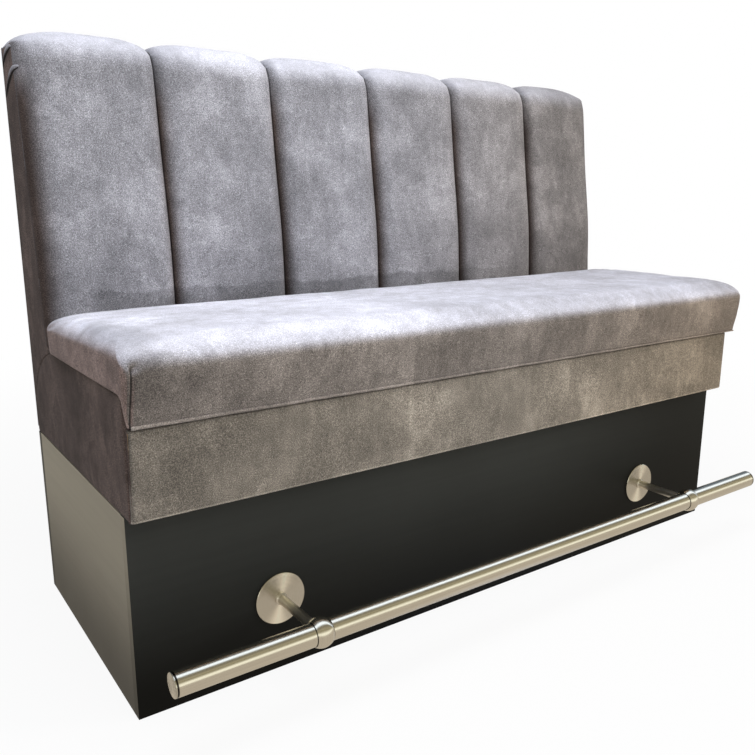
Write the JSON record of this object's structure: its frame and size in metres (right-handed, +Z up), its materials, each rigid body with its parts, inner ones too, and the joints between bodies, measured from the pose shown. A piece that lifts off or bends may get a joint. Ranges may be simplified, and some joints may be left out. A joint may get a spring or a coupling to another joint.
{
  "type": "upholstered booth bench",
  "caption": "Upholstered booth bench on a dark plinth, with a raked channelled back, a drop-on seat pad with a front lip, and a tubular foot rail.",
  "frame": {"origin": "on the floor, at the middle of the plinth's length and depth, on the plinth rib's lower edge", "axes": "+Z up, -Y towards the foot rail and the sitter's feet, +X along the bench to the end where the seat pad overhangs"},
  "size_m": [1.5414, 0.715, 1.112],
  "materials": {
    "plinth_laminate": "dark satin laminate on board",
    "board": "raw plywood and softwood",
    "brushed_steel": "brushed along the tube",
    "plated_steel": "zinc plated",
    "upholstery": "crushed grey velvet",
    "foam": "open-cell foam",
    "dust_cloth": "non-woven cloth",
    "grip_strip": "ribbed grip strip"
  },
  "bodies": {
    "bench": {"back_battens": "board", "back_bolts": "plated_steel", "back_channel_1": "upholstery", "back_channel_2": "upholstery", "back_channel_3": "upholstery", "back_channel_4": "upholstery", "back_channel_5": "upholstery", "back_channel_6": "upholstery", "back_dust_cloth": "dust_cloth", "back_front_sheet": "board", "back_rear_panel": "board", "back_side_cover_left": "upholstery", "back_side_cover_right": "upholstery", "back_top_rail": "board", "back_upright_1": "board", "back_upright_2": "board", "back_upright_3": "board", "back_upright_4": "board", "box_base_board": "board", "box_deck": "board", "box_front_board": "board", "box_left_board": "board", "box_rear_board": "board", "box_rib_1": "board", "box_rib_2": "board", "box_rib_3": "board", "box_right_board": "board", "box_screws": "plated_steel", "box_side_cover_left": "upholstery", "box_side_cover_right": "upholstery", "fascia_board": "board", "fascia_cover": "upholstery", "foot_rail_tube": "brushed_steel", "plinth_corner_blocks": "board", "plinth_front_panel": "plinth_laminate", "plinth_left_panel": "plinth_laminate", "plinth_rear_panel": "plinth_laminate", "plinth_rib": "board", "plinth_right_panel": "plinth_laminate", "plinth_top_board": "board", "rail_backing_left": "board", "rail_backing_right": "board", "rail_ball_left": "brushed_steel", "rail_ball_right": "brushed_steel", "rail_bolts": "plated_steel", "rail_end_cap_left": "brushed_steel", "rail_end_cap_right": "brushed_steel", "rail_flange_left": "brushed_steel", "rail_flange_right": "brushed_steel", "rail_grub_screws": "plated_steel", "rail_post_left": "brushed_steel", "rail_post_right": "brushed_steel", "rail_washers": "plated_steel", "seat_grip_strips": "grip_strip"},
    "seat_pad": {"seat_board": "board", "seat_lip_board": "board", "seat_lip_pad": "upholstery", "seat_foam": "foam", "seat_cover": "upholstery"}
  },
  "joints": [
    {"name": "seat_pad_lift", "type": "slide", "parent": "bench", "child": "seat_pad", "axis": [0, 0, 1], "range_m": [0, 0.15]}
  ]
}
